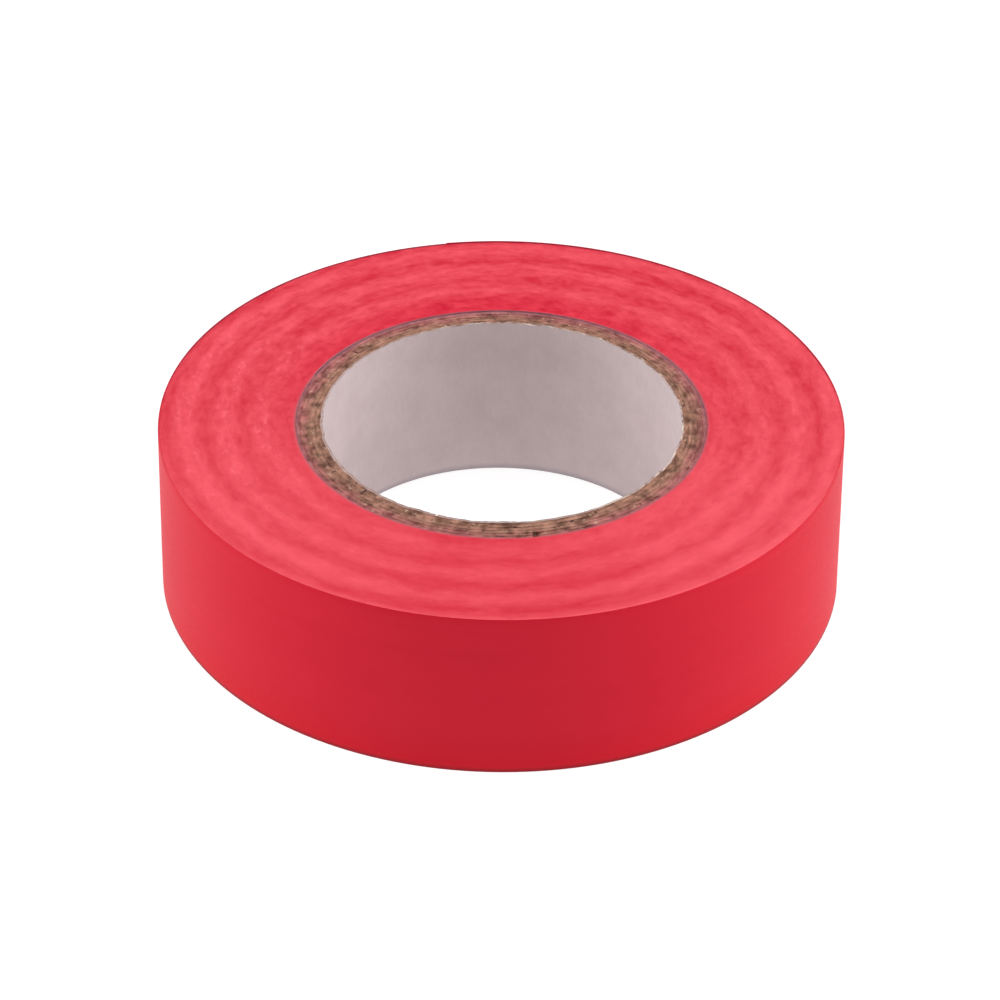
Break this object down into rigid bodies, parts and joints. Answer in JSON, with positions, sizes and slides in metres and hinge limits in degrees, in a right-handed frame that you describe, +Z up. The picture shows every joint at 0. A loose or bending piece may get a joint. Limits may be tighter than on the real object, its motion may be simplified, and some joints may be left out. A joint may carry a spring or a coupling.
{
  "type": "electrical tape roll",
  "caption": "Roll of red PVC insulating tape lying flat, wound on a paperboard core with a through bore; the tape's free end peels off the outside.",
  "frame": {"origin": "on the core's axis, at the lower edge of the tape, which the roll rests on", "axes": "+Z up along the core's axis; the tape is wound anticlockwise seen from +Z, and its free end starts to peel off at 10 degrees from +X and ends at 100 degrees"},
  "size_m": [0.0722, 0.0722, 0.019],
  "materials": {
    "tape_film": "satin calendered PVC film",
    "core_board": "matt cut edge of recycled board",
    "liner_paper": "matt white liner paper"
  },
  "bodies": {
    "roll": {"core_liner": "liner_paper", "core_ply_1": "core_board", "core_ply_2": "core_board", "core_ply_3": "core_board", "core_ply_4": "core_board", "core_ply_5": "core_board", "tape_winding": "tape_film"},
    "tape_tail_1": {"tape_tail_1": "tape_film"},
    "tape_tail_2": {"tape_tail_2": "tape_film"},
    "tape_tail_3": {"tape_tail_3": "tape_film"},
    "tape_tail_4": {"tape_tail_4": "tape_film"},
    "tape_tail_5": {"tape_tail_5": "tape_film"},
    "tape_tail_6": {"tape_tail_6": "tape_film"}
  },
  "joints": [
    {"name": "tape_peel", "type": "hinge", "parent": "roll", "child": "tape_tail_1", "pos_m": [0.03552, 0.0063, 0.0095], "axis": [0, 0, -1], "range_deg": [0, 90]},
    {"name": "tail_bend_1", "type": "hinge", "parent": "tape_tail_1", "child": "tape_tail_2", "pos_m": [0.03268, 0.01529, 0.0095], "axis": [0, 0, -1], "range_deg": [0, 15]},
    {"name": "tail_bend_2", "type": "hinge", "parent": "tape_tail_2", "child": "tape_tail_3", "pos_m": [0.02761, 0.02325, 0.0095], "axis": [0, 0, -1], "range_deg": [0, 15]},
    {"name": "tail_bend_3", "type": "hinge", "parent": "tape_tail_3", "child": "tape_tail_4", "pos_m": [0.02066, 0.02962, 0.0095], "axis": [0, 0, -1], "range_deg": [0, 15]},
    {"name": "tail_bend_4", "type": "hinge", "parent": "tape_tail_4", "child": "tape_tail_5", "pos_m": [0.0123, 0.03397, 0.0095], "axis": [0, 0, -1], "range_deg": [0, 15]},
    {"name": "tail_bend_5", "type": "hinge", "parent": "tape_tail_5", "child": "tape_tail_6", "pos_m": [0.00309, 0.03601, 0.0095], "axis": [0, 0, -1], "range_deg": [0, 15]}
  ],
  "couplings": [
    {"joint": "tail_bend_1", "follows": "tape_peel", "ratio": 0.16},
    {"joint": "tail_bend_2", "follows": "tape_peel", "ratio": 0.16},
    {"joint": "tail_bend_3", "follows": "tape_peel", "ratio": 0.16},
    {"joint": "tail_bend_4", "follows": "tape_peel", "ratio": 0.16},
    {"joint": "tail_bend_5", "follows": "tape_peel", "ratio": 0.16}
  ]
}
